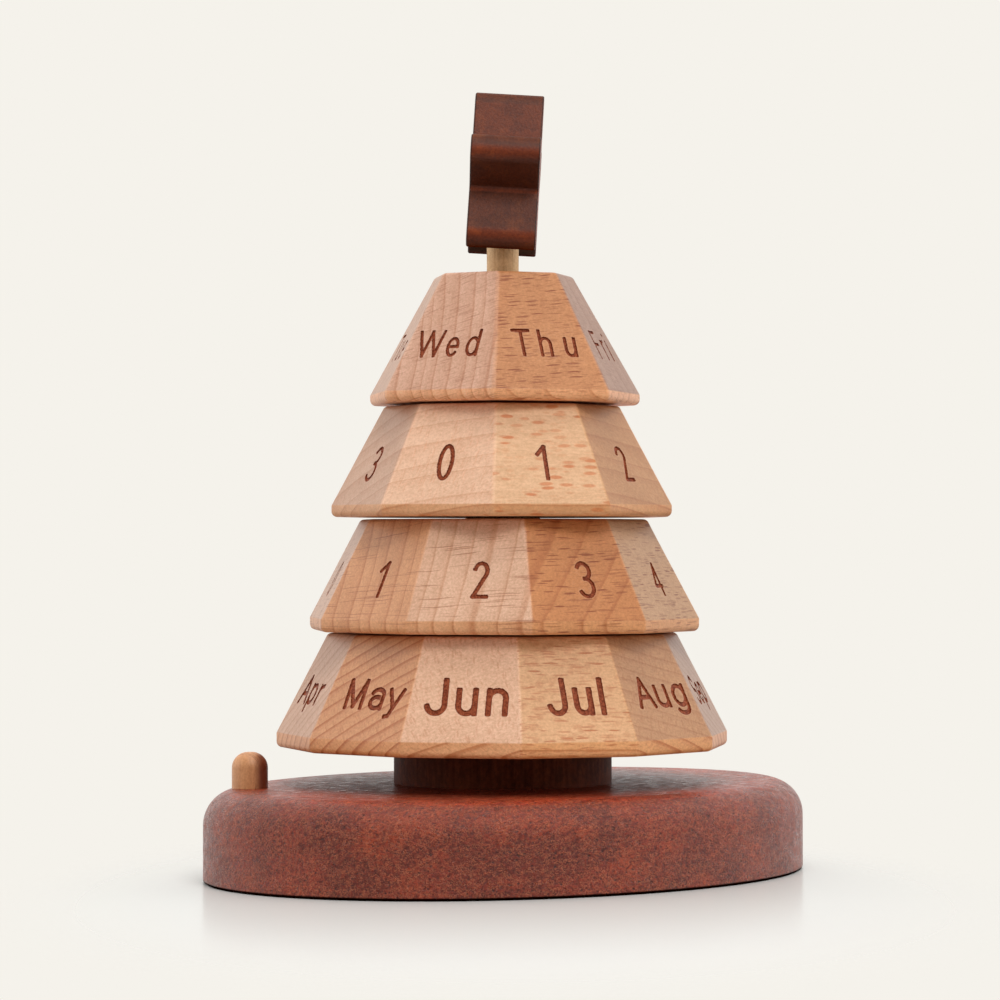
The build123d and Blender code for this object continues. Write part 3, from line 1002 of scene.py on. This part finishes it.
baseLook = {  # lengths in mm
    "length": 125.6, "width": 95.0, "shoulder": 6.5, "foot": 0.6,
    "columns": 300, "shoulderSteps": 14, "footSteps": 6, "wallSteps": 7,
    "shrink": (0.03, 0.3, 0.6, 0.85),  # rings of the flats, as shares of their outline
    "waver": 0.05,  # how far hand sanding took the sides in
    "waverBeats": (3, 5, 8, 13),
    "waverTwist": 2,  # how far a wave turns on its way up, at most
    "seed": 4,
    "smoothAngle": 60,
}
baseOval = (baseLook["length"] / 2 * mm, baseLook["width"] / 2 * mm, 1.0)  # half sizes, m


def ovalRows(look, bottom, top):
    # profile of the slab as (how far inside the outline, height), from the foot's round to the shoulder's
    foot, shoulder = look["foot"], look["shoulder"]
    low = np.radians(np.linspace(-90, 0, look["footSteps"] + 1))
    high = np.radians(np.linspace(0, 90, look["shoulderSteps"] + 1))
    wall = np.linspace(bottom + foot, top - shoulder, look["wallSteps"] + 1)[1:-1]
    return np.concatenate([
        np.stack([foot * (1 - np.cos(low)), bottom + foot * (1 + np.sin(low))], 1),
        np.stack([0 * wall, wall], 1),
        np.stack([shoulder * (1 - np.cos(high)), top - shoulder * (1 - np.sin(high))], 1),
    ])


def ovalGrid(look, rows):
    # each row is the ellipse moved in along its own normal by the row's inset, which wavers a little
    long, short = look["length"] / 2, look["width"] / 2
    angle = np.linspace(0, math.tau, look["columns"], endpoint=False)
    stretch = np.hypot(short * np.cos(angle), long * np.sin(angle))
    level = (rows[:, 1:] - rows[0, 1]) / np.ptp(rows[:, 1])
    rng = np.random.default_rng(look["seed"])
    beats, twist = look["waverBeats"], look["waverTwist"]
    waver = sum(
        np.sin(angle[None] * beat + rng.uniform(0, anyPhase) + level * rng.uniform(-twist, twist))
        for beat in beats
    )
    inset = rows[:, :1] + look["waver"] * (waver + len(beats)) / (2 * len(beats))
    x = long * np.cos(angle)[None] - inset * (short * np.cos(angle) / stretch)[None]
    y = short * np.sin(angle)[None] - inset * (long * np.sin(angle) / stretch)[None]
    grid = np.stack([x, y, rows[:, 1:] + 0 * x], 2)
    shrink = np.array([(share, share, 1.0) for share in look["shrink"]])[:, None]
    return np.concatenate([grid[:1] * shrink, grid, (grid[-1:] * shrink)[::-1]])


def wrapRows(grid):
    # quads between neighbouring rows, closed by a fan round a middle point at each end
    rows, columns = grid.shape[:2]
    index = np.arange(rows * columns).reshape(rows, columns)
    after = np.roll(index, -1, 1)
    quads = np.stack([index[:-1], after[:-1], after[1:], index[1:]], 2).reshape(-1, 4)
    low, high = np.full(columns, rows * columns), np.full(columns, rows * columns + 1)
    fans = [np.stack([after[0], index[0], low], 1), np.stack([index[-1], after[-1], high], 1)]
    points = np.concatenate([grid.reshape(-1, 3), grid[:1].mean(1), grid[-1:].mean(1)])
    return points, quads.tolist() + np.concatenate(fans).tolist()


def makeRound(node, grid, material, smoothAngle):
    points, polygons = wrapRows(grid)
    mesh = bpy.data.meshes.new(node + "_wood")
    mesh.from_pydata((points * mm).tolist(), [], polygons)
    mesh.materials.append(material)
    print(node, len(points), "points")
    return linkPiece(node + "_wood", mesh, "stand", node, smoothAngle)


baseStain = {
    **levelGrain, "roughness": 0.33, "specular": 0.42, "bump": 1.0, "bumpDepth": 0.065,
    "polish": (0.27, 0.44),
    "wood": {
        "Deep": srgb(92, 25, 10), "Stain": srgb(122, 38, 17), "Glow": srgb(148, 55, 23),
        "Fleck": srgb(208, 118, 78), "Patch Size": 11.0,
        "Fleck Amount": 0.6, "Grit Amount": 0.75, "Pore Amount": 0.8, "Ripple Amount": 0.45,
    },
    "oval": baseOval,
    "levels": [  # heights in mm, and how far out the band lies as shares of the oval
        # a redder band near the edge of the top, broken up by a noise
        {
            "span": (15.9, 16.35, 17.0, 17.5), "rim": (0.66, 0.84),
            "tint": (1.4, 1.0, 0.65, 1.0), "amount": 0.9,
        },
        # painted shadow: a near-black line round the foot
        {"span": (-1.0, -0.5, 0.4, 0.7), "tint": (0.02, 0.02, 0.02, 1.0), "amount": 1.0},
    ],
}
low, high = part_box("base")
baseRows = ovalRows(baseLook, low.z / mm, high.z / mm)
baseGrid = ovalGrid(baseLook, baseRows)
makeRound("base", baseGrid, makeStained("base_stain_and_foot_shadow", baseStain), baseLook["smoothAngle"])

# peg: a short dowel with a domed head

pegLook = {  # lengths in mm
    "dome": 2.9, "domeSteps": 14, "chamfer": 0.5, "columns": 72,
    "middle": 0.1,  # radius of the innermost rings
    "smoothAngle": 40,
}


def turnedGrid(profile, columns, place):
    # a profile of (radius, height) carried once round an upright line
    angle = np.linspace(0, math.tau, columns, endpoint=False)
    x = place[0] + profile[:, :1] * np.cos(angle)[None]
    y = place[1] + profile[:, :1] * np.sin(angle)[None]
    return np.stack([x, y, profile[:, 1:] + 0 * x], 2)


def pegProfile(look, radius, bottom, top):
    # a chamfered foot, a straight side, and a quarter circle at the top, as (radius, height)
    dome, cut, middle = look["dome"], look["chamfer"], look["middle"]
    turn = np.radians(np.linspace(0, 90, look["domeSteps"] + 1))
    head = np.stack([radius - dome * (1 - np.cos(turn)), top - dome * (1 - np.sin(turn))], 1)
    foot = [[middle, bottom], [radius - cut, bottom], [radius, bottom + cut], [radius, (bottom + top) / 2]]
    return np.concatenate([foot, head, [[middle, top]]])


low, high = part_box("marker_peg")
pegPlace = ((low.x + high.x) / 2 / mm, (low.y + high.y) / 2 / mm)
pegReach = pegPlace[0] * frontRight[0] + pegPlace[1] * frontRight[1]
pegWood = {
    **uprightGrain, "shift": (3.0, 1.0, 0.0),
    "roughness": 0.45, "specular": 0.5, "bump": 0.25, "bumpDepth": 0.03,
    "wood": {
        "Wood": srgb(216, 154, 104), "Late Wood": srgb(180, 118, 74), "Ray": srgb(140, 84, 52),
        "Ray Share": 0.08, "Line Amount": 0.3, "Fine Amount": 0.15,
    },
    # painted shade: the side towards frontRight, turned from the light, is darker
    "shadedSide": {
        "towards": frontRight, "span": (pegReach + 0.6, pegReach + 2.4),
        "amount": 0.95, "color": srgb(128, 66, 36),
    },
}
pegRows = pegProfile(pegLook, (high.x - low.x) / 2 / mm, low.z / mm, high.z / mm)
pegGrid = turnedGrid(pegRows, pegLook["columns"], pegPlace)
makeRound("marker_peg", pegGrid, makeBeech("peg_beech_and_shade", pegWood), pegLook["smoothAngle"])

# pieces that keep their solids

dowelWood = {
    **uprightGrain, "roughness": 0.55, "specular": 0.4, "bump": 0.25, "bumpDepth": 0.03,
    "wood": {
        "Wood": srgb(240, 201, 148), "Late Wood": srgb(200, 150, 96), "Ray": srgb(160, 116, 72),
        "Ray Share": 0.12, "Ring Gap": 1.7, "Fine Amount": 0.2, "Fibre Amount": 0.1,
    },
}
trunkStain = {
    **uprightGrain, "roughness": 0.6, "specular": 0.1, "bump": 0.5, "bumpDepth": 0.05,
    "wood": {
        "Deep": srgb(80, 36, 18), "Stain": srgb(102, 46, 23), "Glow": srgb(118, 56, 28),
        "Fleck": srgb(130, 70, 44), "Patch Size": 1.6,
        "Streak Amount": 0.35, "Fleck Amount": 0.1, "Pore Amount": 0.2,
    },
}
starStain = {  # each span is on the part of the surface's normal along a direction, from -1 to 1
    **axesFrom(45.0, 90.0), "roughness": 0.5, "specular": 0.4, "bump": 0.35, "bumpDepth": 0.05,
    # painted shade and sheen: undersides, crowns, inner sides facing the dowel, and the eased edges
    "undersides": 0.34, "underSpan": (-0.95, -0.05), "underShineSpan": (-0.98, -0.75),
    "crowns": (0.45, 0.54, 0.6, 1.0), "crownSpan": (0.0, 0.45),
    "crownShine": 0.12, "crownShineSpan": (0.2, 0.8),
    "innerSides": 0.2, "innerSpan": (-0.5, -0.1),
    "flats": (0.71, -0.705, 0.0), "edgeShade": 0.35, "edgeShadeSpan": (0.08, 0.35, 0.85, 0.99),
    "wood": {
        "Deep": srgb(118, 46, 15), "Stain": srgb(140, 58, 21), "Glow": srgb(166, 76, 28),
        "Fleck": srgb(172, 100, 62), "Patch Size": 4.0,
        "Streak Amount": 0.06, "Fleck Amount": 0.15, "Pore Amount": 0.3, "Grit Amount": 0.25,
    },
}
plainMaterials = {
    "trunk_disc": makeStained("trunk_stain", trunkStain),
    "axle": makeBeech("dowel_wood", dowelWood),
    "star": makeStained("star_stain_and_shade", starStain),
}
plainMaterials.update({tier + "_washer": plainMaterials["axle"] for tier in tierLooks})
for node, material in plainMaterials.items():
    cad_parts[node].data.materials.clear()
    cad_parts[node].data.materials.append(material)
print("pieces made")

# stage: floor, light and camera

view = {
    "azimuth": -44.0,  # degrees round the object from the front
    "distance": 683.08 * mm,
    "height": 61.69 * mm,
    "lookUp": 0.67,  # degrees
    "aside": 0.518 * mm,  # how far the dowel stands to the right of the line of sight
    "lens": 131.15,
    "sensor": 36,
    "clip": (0.01, 50),  # m
}
paper = srgb(245, 242, 235)
viewTurn = math.radians(view["azimuth"])
towardsCamera = (math.sin(viewTurn), -math.cos(viewTurn), 0.0)
rightOfCamera = (math.cos(viewTurn), math.sin(viewTurn), 0.0)


def placeCamera():
    camera = bpy.data.objects.new("camera", bpy.data.cameras.new("camera"))
    bpy.context.scene.collection.objects.link(camera)
    back, right = Vector(towardsCamera), Vector(rightOfCamera)
    camera.location = back * view["distance"] - right * view["aside"]
    camera.location += Vector((0, axleY * mm, view["height"]))
    tilt = math.radians(view["lookUp"])
    sight = -back * math.cos(tilt) + Vector((0, 0, math.sin(tilt)))
    camera.rotation_euler = sight.to_track_quat("-Z", "Y").to_euler()
    camera.data.lens = view["lens"]
    camera.data.sensor_width = view["sensor"]
    camera.data.clip_start, camera.data.clip_end = view["clip"]
    bpy.context.scene.camera = camera


lamps = {  # bearing from the camera's and angle above level in degrees, size in m, power in W
    "key": (20, 46, (0.3, 0.3), 2.6),
    "top": (-4, 84, (0.28, 0.28), 1.7),
    "leftTent": (-82, 18, (0.7, 0.8), 1.9),
    "rightTent": (82, 18, (0.7, 0.8), 1.5),
}
lampDistance = 0.9  # m from the target
lampTarget = Vector((0, 0, 0.06))  # m, about the middle of the calendar


def addLamp(name, bearing, elevation, size, power):
    lamp = bpy.data.lights.new(name, "AREA")
    lamp.shape = "RECTANGLE"
    lamp.size, lamp.size_y = size
    lamp.energy = power
    holder = bpy.data.objects.new(name, lamp)
    bpy.context.scene.collection.objects.link(holder)
    turn, lift = math.radians(view["azimuth"] + bearing), math.radians(elevation)
    away = Vector((math.sin(turn) * math.cos(lift), -math.cos(turn) * math.cos(lift), math.sin(lift)))
    holder.location = away * lampDistance + lampTarget
    holder.rotation_euler = (-away).to_track_quat("-Z", "Y").to_euler()


worldLook = {  # each span says from where to where the light changes, and from how much to how much
    "color": (1.0, 0.985, 0.96, 1.0),
    "behind": (-0.35, 0.4, 0.37, 1.1),
    "above": (0.35, 0.9, 0.0, 0.5),
    "below": (-0.35, -0.02, 0.35, 1.0),
}


def makeWorld():
    # bright behind and above, darker on the camera's side and below; the camera itself sees paper
    world = bpy.data.worlds.new("studio")
    world.use_nodes = True
    bpy.context.scene.world = world
    tree = world.node_tree
    light = tree.nodes["Background"]
    towards = coordinate(tree, "Generated")
    away = tuple(-side for side in towardsCamera)
    behind = vectorCalc(tree, "DOT_PRODUCT", towards, away)
    above = heightOf(tree, towards)
    strength = ramp(tree, behind, *worldLook["behind"])
    strength = calc(tree, "MAXIMUM", strength, ramp(tree, above, *worldLook["above"]))
    strength = times(tree, strength, ramp(tree, above, *worldLook["below"]))
    light.inputs["Color"].default_value = worldLook["color"]
    tree.links.new(strength, light.inputs["Strength"])
    seen = addNode(tree, "Background", {"Color": paper, "Strength": 1.0})
    path = addNode(tree, "LightPath").outputs["Is Camera Ray"]
    pick = addNode(tree, "MixShader", {0: path, 1: light.outputs[0], 2: seen.outputs[0]})
    tree.links.new(pick.outputs[0], tree.nodes["World Output"].inputs[0])


floorLook = {
    "radius": 0.9, "rings": 24, "crowding": 1.5, "sides": 96,  # m; the rings crowd towards the middle
    "color": srgb(219, 218, 215),
    "gloss": 0.29, "roughness": 0.19, "sheen": (0.93, 0.97, 0.96, 1.0),
    "polished": (0.9, 3.0),  # the polish wears off outward from the base, over these shares of its oval
    "nearer": 0.04,  # how far the sheet's middle lies towards the camera, m
    "reach": (0.06, 0.1),  # half its size across and along the line of sight, m
    "fade": (0.88, 1.55),  # it passes into the backdrop over this many times that size
}


def floorMesh(look):
    # a flat disc of rings round a middle point
    sides, rings = look["sides"], look["rings"]
    reach = look["radius"] * (np.arange(1, rings + 1) / rings) ** look["crowding"]
    angle = np.linspace(0, math.tau, sides, endpoint=False)
    circle = np.stack([np.cos(angle), np.sin(angle), 0 * angle], 1)
    points = np.concatenate([[[0, 0, 0]], (reach[:, None, None] * circle[None]).reshape(-1, 3)])
    index = 1 + np.arange(rings * sides).reshape(rings, sides)
    quads = np.stack([index[:-1], index[1:], np.roll(index[1:], -1, 1), np.roll(index[:-1], -1, 1)], 2)
    centre = np.stack([np.zeros(sides, dtype=int), index[0], np.roll(index[0], -1)], 1)
    mesh = bpy.data.meshes.new("floor")
    mesh.from_pydata(points.tolist(), [], centre.tolist() + quads.reshape(-1, 4).tolist())
    return mesh


def makeFloor(look):
    # a round satin sheet that fades out into the backdrop's colour
    mesh = floorMesh(look)
    floor = bpy.data.objects.new("floor", mesh)
    bpy.context.scene.collection.objects.link(floor)
    material, tree, shader = newMaterial("satin_floor")
    tree.nodes.remove(shader)
    matt = addNode(tree, "BsdfDiffuse", {"Color": look["color"]})
    gloss = addNode(tree, "BsdfGlossy", {"Color": look["sheen"], "Roughness": look["roughness"]})
    spot = coordinate(tree)
    acrossReach, alongReach = look["reach"]
    aside = vectorCalc(tree, "DOT_PRODUCT", spot, tuple(side / acrossReach for side in rightOfCamera))
    towards = vectorCalc(tree, "DOT_PRODUCT", spot, tuple(side / alongReach for side in towardsCamera))
    towards = calc(tree, "SUBTRACT", towards, look["nearer"] / alongReach)
    away = calc(tree, "SQRT", plus(tree, times(tree, aside, aside), times(tree, towards, towards)))
    nearby = vectorCalc(tree, "LENGTH", vectorCalc(tree, "DIVIDE", spot, baseOval))
    share = ramp(tree, nearby, *look["polished"], look["gloss"], 0.0)
    satin = addNode(tree, "MixShader", {0: share, 1: matt.outputs[0], 2: gloss.outputs[0]})
    clear = addNode(tree, "BsdfTransparent")
    feeds = {0: ramp(tree, away, *look["fade"]), 1: satin.outputs[0], 2: clear.outputs[0]}
    mix = addNode(tree, "MixShader", feeds)
    tree.links.new(mix.outputs[0], tree.nodes["Material Output"].inputs[0])
    mesh.materials.append(material)


placeCamera()
makeWorld()
makeFloor(floorLook)
for name, settings in lamps.items():
    addLamp(name, *settings)
bpy.context.scene.view_settings.view_transform = "Standard"
print("stage made")
